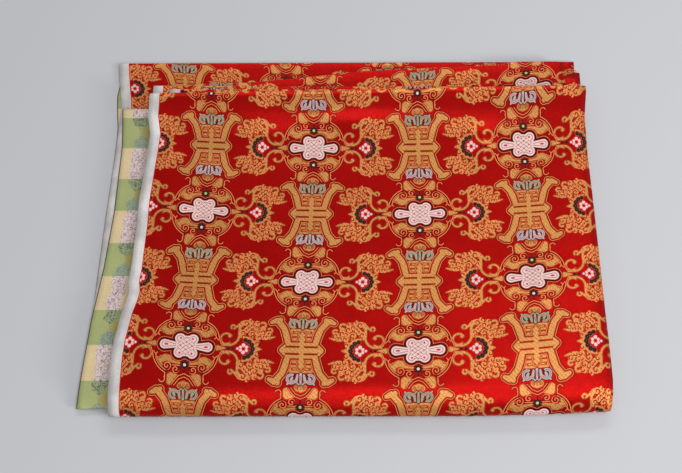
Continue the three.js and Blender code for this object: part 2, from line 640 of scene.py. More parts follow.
@dataclass(frozen=True)
class Curl:
    """A spiral line that winds in from its rim.

    Args:
        x: centre across.
        y: centre along.
        r: radius of its rim.
        pitch: distance between its turns.
        w: half width of the line.
        start: angle at which it crosses each whole turn, in degrees.
        hand: 1 or -1, the way it winds.
    """

    x: float
    y: float
    r: float
    pitch: float
    w: float
    start: float = 0.0
    hand: int = 1

    def distance(self, net: Net, at: Val) -> Val:
        """Signed distance to it.

        Args:
            net: the tree.
            at: where it is measured.

        Returns:
            The distance.
        """
        away = net.vector("SUBTRACT", at, (self.x, self.y, 0.0))
        x, y = net.parts(away)
        angle = net.math("ARCTAN2", y, x)
        reach = net.vector("LENGTH", away, out=1)
        turns = net.math(
            "MULTIPLY_ADD", angle, -self.hand / math.tau, self.hand * self.start / 360.0 + 8.0
        )
        wound = net.math("FRACT", net.math("MULTIPLY_ADD", reach, 1.0 / self.pitch, turns))
        line = net.math("MULTIPLY_ADD", abs(wound - 0.5), self.pitch, -self.w)
        return line.most(reach - self.r)


Shape = Union[Dot, Stroke, Ring, Curl]


def nearest(net: Net, at: Val, shapes: Iterable[Shape]) -> Val:
    """Signed distance to the nearest of several shapes.

    Args:
        net: the tree.
        at: where it is measured.
        shapes: the shapes.

    Returns:
        The distance.
    """
    found: Optional[Val] = None
    for shape in shapes:
        gap = shape.distance(net, at)
        found = gap if found is None else found.least(gap)
    assert found is not None
    return found


@dataclass(frozen=True)
class Yarns:
    """Linear colours of the yarns."""

    ground: Color = (0.345, 0.004, 0.003, 1.0)
    dark: Color = (0.055, 0.003, 0.004, 1.0)
    rust: Color = (0.34, 0.045, 0.015, 1.0)
    gold: Color = (0.62, 0.27, 0.085, 1.0)
    orange: Color = (0.70, 0.15, 0.05, 1.0)
    white: Color = (0.65, 0.43, 0.40, 1.0)
    petal: Color = (0.64, 0.42, 0.33, 1.0)
    grey_green: Color = (0.17, 0.12, 0.09, 1.0)
    rose: Color = (0.42, 0.02, 0.06, 1.0)
    black: Color = (0.012, 0.012, 0.010, 1.0)
    olive: Color = (0.40, 0.40, 0.16, 1.0)
    pale_green: Color = (0.28, 0.26, 0.165, 1.0)
    pale_blue: Color = (0.37, 0.31, 0.29, 1.0)


YARNS = Yarns()


@dataclass(frozen=True)
class FigureChart:
    """The woven figure of one quarter motif, charted in millimetres.

    The knot's shapes are measured from the knot, the medallion's from the medallion, and the
    lotus' from the flower, with x growing away from the knot that it faces.

    Args:
        knot: the knot's body.
        knot_holes: the small openings in it.
        leaves: leaves round the knot.
        scrolls: thin scrolls beside them.
        contour: thin lines round the knot's whole motif.
        tendril: the vine from the knot to the flower.
        heart: the small heart above and below the knot.
        heart_lines: the lines in it.
        medallion: bars and arms of the medallion.
        frets: what fills them.
        bat: the bat at each end of the medallion.
        bat_lines: the lines in it.
        star_reach: distance from the knot to the small star.
        star_petals: how many petals the star has.
        star_wave: how deeply they are cut.
        star_radius: of the star.
        star_heart: radius of its centre.
        beads: round dots beside the star and the flower.
        flower: the flower's centre.
        petals: the dark petals round it.
        cloud: the cloud beside the flower.
        cloud_rim: the ring and the stalks at the cloud's border.
        clearing: radius about the flower that the cloud leaves free.
        curl_density: curls a millimetre.
        curl_scatter: how unevenly they lie, from 0 to 1.
        curl_pitch: turns a millimetre.
        curl_start: turns at which a curl starts.
        curl_radius: of a curl.
        curl_contrast: how sharply a curl's line ends.
        curl_gold: width of the line's metallic part.
        curl_edge: its width with the coloured edge.
        leaf_margin: how far leaves stay off the knot.
        cords: steepness of the knot's cords, across and along.
        cord_slope: how sharply a cord's line ends.
        cord_width: of that line.
        cord_bound: slant and reach of the middle that the cords cross.
        cord_rim: the line inside the knot's edge, nearer and farther side.
    """

    knot: tuple[Shape, ...] = (
        Dot(5.1, 5.5, 4.2),
        Dot(1.6, 2.0, 6.2),
        Stroke(6.5, 0.0, 17.0, 0.0, 2.0, 3.8),
    )
    knot_holes: tuple[Shape, ...] = (
        Dot(4.7, 5.9, 0.85),
        Dot(4.4, 0.0, 0.6),
        Dot(0.0, 2.9, 0.6),
        Stroke(14.8, 0.0, 16.4, 0.0, 0.75),
    )
    leaves: tuple[Shape, ...] = (
        Stroke(21.0, 12.4, 18.2, 15.8, 1.1, 1.2),
        Stroke(19.6, 12.4, 15.2, 10.4, 2.2, 2.5),
        Stroke(15.2, 10.4, 11.8, 10.2, 2.5, 1.7),
        Stroke(12.0, 12.4, 4.4, 13.5, 1.15, 0.85),
        Stroke(10.9, 27.0, 10.4, 23.6, 2.3, 2.7),
        Stroke(10.2, 22.8, 6.0, 23.0, 2.0, 1.1),
        Stroke(25.0, 0.0, 30.6, 0.0, 2.0, 0.4),
    )
    scrolls: tuple[Shape, ...] = (
        Curl(13.7, 16.2, 3.3, 2.3, 0.42, 100.0, -1),
        Curl(6.7, 18.3, 2.9, 2.2, 0.42, 190.0, 1),
        Ring(20.9, 8.8, 2.0, 0.4, -130.0, 55.0),
        Stroke(25.2, 6.2, 22.8, 8.6, 0.38),
        Stroke(3.6, 15.4, 9.4, 15.4, 0.36),
    )
    contour: tuple[Shape, ...] = (
        Ring(8.5, 5.0, 17.3, 0.4, 218.0, 150.0),
        Stroke(14.9, 21.2, 14.9, 25.4, 0.38),
        Ring(17.1, 25.4, 2.2, 0.38, -60.0, 70.0),
        Ring(8.5, 5.0, 15.5, 0.34, 224.0, 157.0),
        Stroke(0.0, 20.9, 4.8, 23.0, 0.36),
        Stroke(4.8, 23.0, 9.6, 28.8, 0.36),
        Stroke(0.0, 23.2, 4.0, 25.0, 0.34),
        Stroke(4.0, 25.0, 7.6, 29.4, 0.34),
        Stroke(25.6, 8.0, 27.4, 3.4, 0.4),
    )
    tendril: tuple[Shape, ...] = (
        Ring(31.0, 7.8, 4.4, 0.62, -8.0, 40.0),
        Dot(33.6, 10.1, 1.15),
        Stroke(28.2, 2.4, 31.2, 2.7, 0.5, 0.6),
        Ring(33.0, 10.6, 8.0, 0.7, 128.0, 118.0),
        Stroke(40.9, 11.4, 41.0, 18.0, 0.75, 0.9),
        Stroke(41.0, 18.0, 43.2, 22.4, 0.9, 0.8),
        Ring(35.6, 17.8, 1.6, 0.55, -60.0, 60.0),
        Stroke(36.4, 16.5, 40.2, 19.6, 0.6, 0.8),
    )
    heart: tuple[Shape, ...] = (
        Dot(2.6, 29.6, 2.2),
        Stroke(0.0, 26.6, 2.4, 28.6, 0.6, 1.7),
    )
    heart_lines: tuple[Shape, ...] = (
        Ring(2.5, 29.8, 1.0, 0.3, 200.0, 60.0),
        Stroke(0.0, 28.4, 0.0, 31.0, 0.25),
    )
    medallion: tuple[Shape, ...] = (
        Stroke(0.0, 0.0, 0.0, 12.9, 1.6),
        Stroke(0.0, 0.0, 13.6, 0.0, 1.95),
        Stroke(13.3, 3.4, 16.2, 0.4, 0.85),
        Stroke(0.0, 5.0, 9.8, 5.0, 1.2),
        Stroke(10.7, 5.6, 12.5, 12.6, 2.0, 2.3),
        Stroke(12.5, 12.6, 14.5, 17.9, 2.3, 2.05),
        Stroke(14.5, 17.9, 19.2, 23.5, 2.05, 2.2),
        Dot(18.0, 25.2, 1.8),
        Stroke(20.8, 24.4, 24.5, 22.8, 2.2, 1.4),
    )
    frets: tuple[Shape, ...] = (
        Stroke(0.0, 9.0, 6.3, 9.0, 1.05),
        Stroke(0.0, 12.5, 7.3, 12.5, 0.8),
        Stroke(1.6, 16.6, 8.4, 16.6, 0.75),
        Stroke(8.2, 12.6, 8.4, 16.6, 0.5),
        Stroke(2.6, 14.6, 5.8, 14.6, 0.45),
        Stroke(0.0, 14.0, 0.0, 16.8, 0.5),
    )
    bat: tuple[Shape, ...] = (
        Ring(7.3, 22.1, 3.1, 1.05, 200.0, 38.0),
        Stroke(9.4, 24.9, 10.4, 26.2, 1.1, 0.6),
        Stroke(6.6, 21.3, 7.3, 22.8, 0.9, 1.2),
        Stroke(2.5, 19.2, 3.4, 24.0, 0.8, 1.25),
        Stroke(0.0, 18.4, 0.0, 25.4, 1.0, 0.75),
        Stroke(1.2, 26.4, 2.5, 25.4, 0.5),
    )
    bat_lines: tuple[Shape, ...] = (
        Ring(7.3, 22.1, 3.1, 0.25, 200.0, 50.0),
        Ring(3.1, 23.7, 0.7, 0.22, 270.0, 60.0),
        Stroke(0.0, 19.8, 0.0, 22.4, 0.3),
    )
    star_reach: float = 14.6
    star_petals: float = 8.0
    star_wave: float = 0.7
    star_radius: float = 3.1
    star_heart: float = 1.15
    beads: tuple[Shape, ...] = (Dot(0.0, 19.3, 0.85), Dot(33.0, 0.0, 1.1), Dot(36.6, 0.0, 1.1))
    flower: tuple[Shape, ...] = (
        Dot(-0.2, 2.9, 1.4),
        Dot(-2.4, 1.2, 1.15),
        Dot(2.2, 1.3, 1.25),
        Dot(-4.8, 0.0, 0.95),
    )
    petals: tuple[Shape, ...] = (
        Dot(7.0, 0.0, 1.75),
        Dot(6.1, 3.2, 1.75),
        Dot(3.9, 5.8, 1.7),
        Dot(0.9, 7.0, 1.6),
    )
    cloud: tuple[Shape, ...] = (
        Dot(2.0, 17.6, 6.3),
        Dot(7.2, 16.4, 6.6),
        Dot(13.4, 12.6, 5.0),
        Stroke(12.0, 10.4, 19.6, 10.8, 3.6, 2.4),
        Dot(-0.6, 12.4, 3.4),
        Stroke(9.4, 6.6, 11.6, 2.0, 1.6, 0.8),
    )
    cloud_rim: tuple[Shape, ...] = (
        Ring(0.0, 0.0, 9.3, 0.8, 180.0, 84.0),
        Stroke(10.6, 0.0, 13.8, 0.0, 1.7, 0.3),
        Stroke(20.0, 9.4, 23.8, 10.4, 0.9, 0.25),
        Ring(13.8, 20.0, 2.2, 0.7, 205.0, 62.0),
        Ring(19.6, 15.6, 1.7, 0.6, -150.0, 60.0),
    )
    clearing: float = 9.3
    curl_density: float = 0.245
    curl_scatter: float = 0.8
    curl_pitch: float = 0.37
    curl_start: float = 8.3
    curl_radius: float = 2.7
    curl_contrast: float = 5.0
    curl_gold: float = 2.3
    curl_edge: float = 4.1
    leaf_margin: float = 3.1
    cords: Point = (0.22, 0.30)
    cord_slope: float = 2.7
    cord_width: float = 0.98
    cord_bound: Point = (1.1, 8.4)
    cord_rim: Point = (-1.9, -1.4)

    def fold(self, net: Net, at: Val) -> tuple[Val, Val, Val]:
        """Fold the cloth's plane onto one quarter motif.

        Args:
            net: the tree.
            at: place on the cloth, in millimetres.

        Returns:
            x and y from the knot, and 1 above each knot or 0 below it.
        """
        x, y = net.parts(at)
        across = abs(net.math("WRAP", x, HALF_ACROSS, -HALF_ACROSS))
        along = net.math("WRAP", y, HALF_ALONG, -HALF_ALONG)
        swap = net.math("GREATER_THAN", across, HALF_ACROSS / 2)
        above = net.math("GREATER_THAN", along, 0.0)
        reach = abs(along)
        folded_x = (HALF_ACROSS / 2) - abs(across - HALF_ACROSS / 2)
        turned = net.math("MULTIPLY_ADD", reach, -2.0, HALF_ALONG)
        folded_y = net.math("MULTIPLY_ADD", turned, swap, reach)
        upper = abs(above - swap)
        return folded_x, folded_y, upper

    def star(self, net: Net, at: Val) -> tuple[Val, Val]:
        """The small eight-petalled star above and below each knot.

        Args:
            net: the tree.
            at: place from the knot.

        Returns:
            Distances to its petals and to its centre.
        """
        away = net.vector("SUBTRACT", at, (0.0, self.star_reach, 0.0))
        x, y = net.parts(away)
        reach = net.vector("LENGTH", away, out=1)
        wave = net.math("COSINE", net.math("ARCTAN2", y, x) * self.star_petals)
        petals = net.math("MULTIPLY_ADD", wave, -self.star_wave, reach) - self.star_radius
        return petals, reach - self.star_heart

    def scales(self, net: Net, at: Val) -> tuple[Val, Val, Val]:
        """Small curls that fill the clouds, one in each cell.

        Args:
            net: the tree.
            at: place from the flower.

        Returns:
            The place of the nearest curl, the distance to its rim, and how far its line lies
            from here, from 0 to 1.
        """
        cells = net.add("ShaderNodeTexVoronoi", voronoi_dimensions="2D")
        net.feed(cells.inputs["Vector"], at)
        cells.inputs["Scale"].default_value = self.curl_density
        cells.inputs["Randomness"].default_value = self.curl_scatter
        centre = Val(net, cells.outputs["Position"])
        away = net.vector("SUBTRACT", at, centre)
        x, y = net.parts(away)
        reach = net.vector("LENGTH", away, out=1)
        turns = net.math("MULTIPLY_ADD", net.math("ARCTAN2", y, x), 1.0 / math.tau, self.curl_start)
        wound = net.math("FRACT", net.math("MULTIPLY_ADD", reach, self.curl_pitch, turns))
        return centre, reach - self.curl_radius, abs(net.math("MULTIPLY_ADD", wound, 2.0, -1.0))

    def braid(self, net: Net, x: Val, y: Val, knot: Val) -> Val:
        """Lines of the knot's cords, woven over and under in its middle.

        Args:
            net: the tree.
            x: place across from the knot.
            y: place along from the knot.
            knot: distance to the knot's edge.

        Returns:
            Distance to the nearest line.
        """
        across_step, along_step = self.cords
        rise = net.math("MULTIPLY_ADD", y, along_step, x * across_step)
        fall = net.math("MULTIPLY_ADD", y, along_step, x * -across_step)
        over = net.math("FLOOR", rise) + net.math("FLOOR", fall)
        odd = net.math("PINGPONG", over, 1.0)
        along = abs(net.math("FRACT", rise) - 0.5)
        across = abs(net.math("FRACT", fall) - 0.5)
        chosen = along + (across - along) * odd
        woven = net.math("MULTIPLY_ADD", chosen, -self.cord_slope, self.cord_width)
        slant, reach = self.cord_bound
        middle = net.math("MULTIPLY_ADD", y, slant, x) - reach
        return woven.most(middle).least(knot.band(*self.cord_rim).most(-middle))

    def golds(self, net: Net, knot_at: Val, medal_at: Val, knot: Val, medal: Val) -> Val:
        """Solid areas of metallic yarn, apart from the clouds.

        Args:
            net: the tree.
            knot_at: place from the knot.
            medal_at: place from the medallion.
            knot: distance to the knot's edge.
            medal: distance to the medallion.

        Returns:
            Distance to them.
        """
        gold = medal.least(nearest(net, medal_at, self.frets))
        gold = gold.least(nearest(net, knot_at, self.leaves).most(self.leaf_margin - knot))
        gold = gold.least(nearest(net, knot_at, self.heart))
        return gold.least(nearest(net, knot_at, self.tendril))

    def build(self) -> bpy.types.NodeTree:
        """Build the figure as a shader node group.

        Returns:
            The group, with a Place input in millimetres, and Color, Gold and Float outputs.
        """
        outputs = {"Color": "Color", "Gold": "Float", "Float": "Float"}
        tree = new_tree("Brocade figure", "Shader", {"Place": "Vector"}, outputs)
        net = Net(tree)
        given = net.add("NodeGroupInput")
        x, y, upper = self.fold(net, Val(net, given.outputs["Place"]))
        knot_at = net.point(x, y)
        medal_at = net.point(x, HALF_ALONG - y)
        outer = net.math("GREATER_THAN", y, HALF_ALONG / 2)
        flip = net.math("MULTIPLY_ADD", outer, -2.0, 1.0)
        lotus_y = net.math("MULTIPLY_ADD", y, flip, outer * HALF_ALONG)
        lotus_at = net.point((x - HALF_ACROSS / 2) * flip, lotus_y)

        medal = nearest(net, medal_at, self.medallion)
        knot = nearest(net, knot_at, self.knot)
        gold = self.golds(net, knot_at, medal_at, knot, medal)
        gold = gold.least(nearest(net, lotus_at, self.cloud_rim))
        bloom = net.vector("LENGTH", lotus_at, out=1)
        centre, curl_rim, wound = self.scales(net, lotus_at)
        cloud = nearest(net, centre, self.cloud).most(curl_rim).most(self.clearing - bloom)

        lines = medal.band(1.25, 1.85).least(knot.band(2.0, 2.45))
        lines = lines.least(nearest(net, knot_at, self.scrolls))
        lines = lines.least(nearest(net, knot_at, self.contour))
        lines = lines.least(nearest(net, knot_at, self.heart_lines))

        cloud_mask = cloud.inside(0.5)
        sharp = -self.curl_contrast
        curl_gold = net.math("MULTIPLY_ADD", wound, sharp, self.curl_gold, clamp=True) * cloud_mask
        curl_edge = net.math("MULTIPLY_ADD", wound, sharp, self.curl_edge, clamp=True) * cloud_mask
        gold_mask = gold.inside()
        color = net.mix((lines - 0.5).inside(), YARNS.ground, YARNS.dark)
        color = net.mix((gold - 0.6).inside(), color, YARNS.rust)
        color = net.mix(cloud_mask * 0.85, color, YARNS.dark)
        color = net.mix(curl_edge * (1.0 - gold_mask), color, YARNS.orange)
        color = net.mix(curl_gold.most(gold_mask), color, YARNS.gold)
        line_mask = lines.inside()
        color = net.mix((lines - 0.42).inside() * gold_mask, color, YARNS.dark)
        color = net.mix(line_mask, color, YARNS.orange)

        color = net.mix((knot - 1.3).inside(), color, YARNS.dark)
        color = net.mix(knot.inside(), color, YARNS.white)
        braid = self.braid(net, x, y, knot).most(knot + 0.3)
        color = net.mix(braid.inside(0.3), color, YARNS.grey_green)
        color = net.mix(nearest(net, knot_at, self.knot_holes).inside(), color, YARNS.rose)

        bat = nearest(net, medal_at, self.bat)
        pale = net.mix(upper, YARNS.pale_green, YARNS.pale_blue)
        color = net.mix((bat - 0.5).inside(), color, YARNS.dark)
        color = net.mix(bat.inside(), color, pale)
        marks = nearest(net, medal_at, self.bat_lines).inside()
        color = net.mix(marks * 0.8, color, YARNS.rose)

        petals, heart = self.star(net, knot_at)
        leaf = nearest(net, lotus_at, self.petals)
        black = petals.least(nearest(net, knot_at, self.beads)).least(leaf)
        color = net.mix((leaf - 0.5).inside(), color, YARNS.rust)
        color = net.mix(black.inside(), color, YARNS.black)
        color = net.mix((leaf + 1.45).inside(), color, YARNS.grey_green)
        color = net.mix(heart.inside(), color, net.mix(upper, YARNS.white, YARNS.olive))
        flower = nearest(net, lotus_at, self.flower)
        color = net.mix((flower - 0.6).inside(), color, YARNS.rose)
        color = net.mix(flower.inside(), color, YARNS.petal)

        plain = (knot - 1.3).inside().most((bat - 0.5).inside()).most((leaf - 0.6).inside())
        plain = plain.most((flower - 0.6).inside()).most(black.inside())
        shine = gold_mask.most(curl_gold) * (1.0 - plain)
        outs = net.add("NodeGroupOutput")
        net.feed(outs.inputs["Color"], color)
        net.feed(outs.inputs["Gold"], shine)
        net.feed(outs.inputs["Float"], shine.most(plain).most(line_mask).most(curl_edge))
        LOG.info("figure: %d nodes", net.count)
        return tree


@dataclass(frozen=True)
class Swell:
    """A soft ridge or hollow in the top layer.

    Args:
        x: centre across, in metres.
        y: centre along.
        across: reach across, in metres.
        along: reach along.
        height: how high it stands, or how deep if negative.
        turn: how far it is turned, in degrees.
    """

    x: float
    y: float
    across: float
    along: float
    height: float
    turn: float = 0.0

    def lift(self, x: np.ndarray, y: np.ndarray) -> np.ndarray:
        """Height that it adds at each place.

        Args:
            x: places across.
            y: places along.

        Returns:
            The height there, in metres.
        """
        angle = math.radians(self.turn)
        dx, dy = x - self.x, y - self.y
        u = (dx * math.cos(angle) + dy * math.sin(angle)) / self.across
        v = (dy * math.cos(angle) - dx * math.sin(angle)) / self.along
        return self.height * np.exp(-(u * u + v * v))


@dataclass
class ClothSheet:
    """The whole length of cloth as one sheet with face, reverse and edges.

    Args:
        thickness: of the sheet, in metres.
        columns: points across the cloth.
        turn_steps: steps in each half turn.
        roll_steps: steps in the foot and in the slope of the front roll.
        swells: soft ridges and hollows of the top layer.
        flat_width: width of the cloth when laid flat, in metres; not used.
    """

    thickness: float = 0.0008
    columns: int = 80
    turn_steps: int = 8
    roll_steps: tuple[int, int] = (8, 22)
    swells: tuple[Swell, ...] = (
        Swell(0.03, 0.090, 0.20, 0.016, 0.0004),
        Swell(-0.068, 0.092, 0.032, 0.009, 0.0013, 4.0),
        Swell(0.013, 0.105, 0.030, 0.009, 0.0014),
        Swell(0.121, 0.093, 0.042, 0.010, 0.0018, 3.0),
        Swell(-0.146, 0.064, 0.030, 0.010, 0.0006, 6.0),
        Swell(0.0, 0.119, 0.22, 0.009, -0.0006),
        Swell(0.160, -0.090, 0.020, 0.013, 0.0006, 8.0),
        Swell(-0.165, -0.112, 0.026, 0.013, 0.0008, -6.0),
        Swell(0.06, -0.124, 0.06, 0.012, 0.0004),
        Swell(-0.08, -0.010, 0.07, 0.016, 0.0003, 12.0),
        Swell(0.17, 0.010, 0.04, 0.020, 0.0004, -14.0),
        Swell(0.06, -0.040, 0.08, 0.018, 0.0003, -8.0),
    )
    flat_width: float = 0.385
    rows: list[np.ndarray] = field(default_factory=list)
    starts: dict[str, tuple[int, int]] = field(default_factory=dict)
    shifts: list[Point] = field(default_factory=list)

    def height(self, x: np.ndarray, y: np.ndarray, level: int, right: float) -> np.ndarray:
        """Height of a layer's middle surface.

        Args:
            x: places across.
            y: places along.
            level: the layer's place in the stack.
            right: its right edge there.

        Returns:
            The height, in metres.
        """
        share = level / TOP_LEVEL
        long = np.sin(x * LONG_WAVE_X[0] + LONG_WAVE_X[1]) * np.cos(y * LONG_WAVE_Y[0] + LONG_WAVE_Y[1])
        slant = SLANT_SHARE * np.sin(x * SLANT_WAVE[0] + y * SLANT_WAVE[1] + SLANT_WAVE[2])
        droop = np.clip((x - right + RIGHT_DROOP_REACH) / RIGHT_DROOP_REACH, 0.0, 1.0) ** 2
        wave = RELIEF_HEIGHT * share * RELIEF_SHARE * (long + slant)
        return MID_HEIGHT + LAYER_PITCH * level + wave - RIGHT_DROOP * share * droop

    def top_lift(self, x: np.ndarray, y: np.ndarray, from_fold: np.ndarray) -> np.ndarray:
        """What the top layer adds to its plain height.

        Args:
            x: places across.
            y: places along.
            from_fold: distance from the back fold.

        Returns:
            The added height, in metres.
        """
        t = np.clip(from_fold / BACK_PUFF_REACH, 0.0, 1.0)
        lift = BACK_PUFF_HEIGHT * 4 * t * (1 - t) * (1 - t) * TOP_PUFF
        return lift + np.clip(from_fold / SWELL_RISE, 0.0, 1.0) * self.swelling(x, y)

    def swelling(self, x: np.ndarray, y: np.ndarray) -> np.ndarray:
        """All swells together at each place."""
        return sum(swell.lift(x, y) for swell in self.swells)

    def lay_run(self, run: Run, start: Turn, end: Turn) -> list[np.ndarray]:
        """Lay one layer.

        Args:
            run: the layer.
            start: the turn that it comes from.
            end: the turn that it goes to.

        Returns:
            Rows of points of its middle surface.
        """
        across = np.linspace(0.0, 1.0, self.columns)
        start_x = start.left[0] + (start.right[0] - start.left[0]) * across
        end_x = end.left[0] + (end.right[0] - end.left[0]) * across
        y_start = start.y_at(start_x) + (ROLL_TOP_REACH if run.name == "top" else 0.0)
        y_end = end.y_at(end_x) + (ROLL_FOOT_REACH if run.name == "base" else 0.0)
        table = self.edge_table(run, start, end)
        cover = self.edge_table(RUNS[TOP_RUN], TURNS[TOP_RUN], TURNS[TOP_RUN + 1])
        rows = []
        for along in np.linspace(0.0, 1.0, run.rows + 1):
            y = y_start + (y_end - y_start) * along
            left = np.interp(y[0], table[:, 0], table[:, 1])
            right = np.interp(y[-1], table[:, 0], table[:, 2])
            if HIDDEN_LEVELS[0] <= run.level <= HIDDEN_LEVELS[1]:
                left = max(left, np.interp(y[0], cover[:, 0], cover[:, 1]) + HIDDEN_TUCK)
                right = min(right, np.interp(y[-1], cover[:, 0], cover[:, 2]) - HIDDEN_TUCK)
            x = left + (right - left) * across
            z = self.height(x, y, run.level, right)
            if run.name == "top":
                z = z + self.top_lift(x, y, y_end - y)
            rows.append(np.stack([x, y, z], axis=1))
        return rows

    def edge_table(self, run: Run, start: Turn, end: Turn) -> np.ndarray:
        """Stations of a layer's edges, from the front to the back.

        Args:
            run: the layer.
            start: the turn that it comes from.
            end: the turn that it goes to.

        Returns:
            y, left edge and right edge of each.
        """
        ends = []
        for turn in (start, end):
            ends.append(((turn.left[1] + turn.right[1]) / 2, turn.left[0], turn.right[0]))
        return np.array(sorted([*ends, *run.edges]))

    def half_turn(self, before: np.ndarray, after: np.ndarray, side: Side) -> list[np.ndarray]:
        """Join two layers by a half turn.

        Args:
            before: last row of the one.
            after: first row of the next.
            side: where the turn lies.

        Returns:
            The rows in between.
        """
        rows = []
        for angle in np.linspace(0.0, math.pi, self.turn_steps + 1)[1:-1]:
            row = before + (after - before) * (1 - math.cos(angle)) / 2
            row[:, 1] += side.value * TURN_REACH * math.sin(angle)
            rows.append(row)
        return rows

    def front_roll(self, before: np.ndarray, after: np.ndarray) -> list[np.ndarray]:
        """Bring the cloth up from the surface, round the front and onto the top.

        Args:
            before: last row of the base.
            after: first row of the top.

        Returns:
            The rows in between.
        """
        foot, slope = self.roll_steps
        crown = after[:, 2] - self.swelling(after[:, 0], after[:, 1])
        rows = []
        for step in range(1, foot + slope):
            row = before + (after - before) * step / (foot + slope)
            if step <= foot:
                angle = math.pi / 2 * step / foot
                row[:, 1] = before[:, 1] - ROLL_FOOT_REACH * math.sin(angle)
                row[:, 2] = before[:, 2] + (ROLL_WAIST_Z - before[:, 2]) * (1 - math.cos(angle))
            else:
                angle = math.pi / 2 * (step - foot) / slope
                row[:, 1] = after[:, 1] - ROLL_TOP_REACH * math.cos(angle)
                lift = self.swelling(row[:, 0], row[:, 1]) * math.sin(angle) ** 2
                row[:, 2] = ROLL_WAIST_Z + (crown - ROLL_WAIST_Z) * math.sin(angle) + lift
            rows.append(row)
        return rows

    def lay(self) -> None:
        """Lay the whole length, from the strip's raw end to the inner one."""
        self.rows, self.shifts = [], []
        total = np.zeros(2)
        for index, run in enumerate(RUNS):
            laid = self.lay_run(run, TURNS[index], TURNS[index + 1])
            if index:
                before = self.rows[-1]
                if run.name == "top":
                    joint = self.front_roll(before, laid[0])
                else:
                    joint = self.half_turn(before, laid[0], TURNS[index].side)
                self.rows += joint
                self.shifts += [tuple(total)] * len(joint)
            total = total + np.array(run.figure_shift)
            self.starts[run.name] = (len(self.rows), len(self.rows) + len(laid))
            self.rows += laid
            self.shifts += [tuple(total)] * len(laid)

    def figure_places(self, points: np.ndarray) -> np.ndarray:
        """Where each point of the sheet lies in the figure.

        The top layer follows its rows of motifs, and the rest runs on from it by length along the cloth.

        Args:
            points: the middle surface, rows by columns by 3, in metres.

        Returns:
            Place across and along in millimetres, for each point.
        """
        along = lengths(points, 0) / MM
        across = lengths(points, 1) / MM
        first, last = self.starts["top"]
        shifted = (points[first:last, :, :2] + np.array(CENTRE_SHIFT)) / MM
        top = pinned_places(shifted)
        places = np.zeros((*along.shape, 2))
        places[first:last] = top
        for rows, edge in ((slice(0, first), first), (slice(last, None), last - 1)):
            from_edge = across[rows] - across[edge]
            places[rows, :, 0] = top[edge - first, :, 0] + from_edge
            places[rows, :, 1] = top[edge - first, :, 1] + along[rows] - along[edge]
        return places + np.array(self.shifts)[:, None, :]

    def normals(self, points: np.ndarray) -> np.ndarray:
        """Unit normals of the middle surface, on the face side.

        Args:
            points: the middle surface.

        Returns:
            A normal for each point.
        """
        across = np.gradient(points, axis=1)
        steps = np.diff(points, axis=0)
        steps /= np.linalg.norm(steps, axis=2, keepdims=True)
        along = np.concatenate([steps[:1], steps[:-1] + steps[1:], steps[-1:]])
        normal = np.cross(across, along)
        return normal / np.linalg.norm(normal, axis=2, keepdims=True)

    def build(
        self, name: str, materials: Sequence[bpy.types.Material], yarn: bpy.types.Material
    ) -> bpy.types.Object:
        """Build the sheet as a closed mesh.

        Args:
            name: name of the piece.
            materials: one for each slot.
            yarn: material of the loose warp ends.

        Returns:
            The object, with the maps figure, in millimetres, and edges, in metres from each side.
        """
        self.lay()
        points = np.stack(self.rows)
        places = self.figure_places(points)
        normal = self.normals(points)
        from_left = lengths(points, 1)
        edges = np.stack([from_left, from_left[:, -1:] - from_left], axis=2)
        points = points + np.array([*CENTRE_SHIFT, 0.0])
        half = normal * self.thickness / 2
        vertices = np.concatenate([(points + half).reshape(-1, 3), (points - half).reshape(-1, 3)])
        count, columns = len(points), self.columns
        at = np.arange(count * columns).reshape(count, columns)
        under = at + count * columns
        face = np.stack([at[:-1, :-1], at[:-1, 1:], at[1:, 1:], at[1:, :-1]], axis=2).reshape(-1, 4)
        back = np.stack([under[:-1, :-1], under[1:, :-1], under[1:, 1:], under[:-1, 1:]], axis=2)
        back = back.reshape(-1, 4)
        rims = [
            np.stack([at[:-1, 0], at[1:, 0], under[1:, 0], under[:-1, 0]], axis=1),
            np.stack([at[:-1, -1], under[:-1, -1], under[1:, -1], at[1:, -1]], axis=1),
            np.stack([at[0, :-1], under[0, :-1], under[0, 1:], at[0, 1:]], axis=1),
            np.stack([at[-1, :-1], at[-1, 1:], under[-1, 1:], under[-1, :-1]], axis=1),
        ]
        faces = np.concatenate([face, back, *rims])
        mesh = bpy.data.meshes.new(name)
        mesh.from_pydata(vertices.tolist(), [], faces.tolist())
        slots = np.full(len(faces), Slot.EDGE.value)
        slots[: len(face)] = Slot.FACE.value
        slots[len(face) : len(face) + len(back)] = Slot.REVERSE.value
        mesh.polygons.foreach_set("material_index", slots)
        corners = faces.reshape(-1) % (count * columns)
        for layer, values in (("figure", places), ("edges", edges)):
            uv = mesh.uv_layers.new(name=layer)
            uv.data.foreach_set("uv", values.reshape(-1, 2)[corners].reshape(-1))
        mesh.polygons.foreach_set("use_smooth", slots != Slot.EDGE.value)
        for material in materials:
            mesh.materials.append(material)
        mesh.update()
        piece = bpy.data.objects.new(name, mesh)
        bpy.context.scene.collection.objects.link(piece)
        frays = [
            Fray(seed=7 + number).build(f"{name}_fray_{number}", points[end], yarn)
            for number, end in enumerate((0, -1))
        ]
        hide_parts("cloth")
        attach(piece, "root")
        return piece


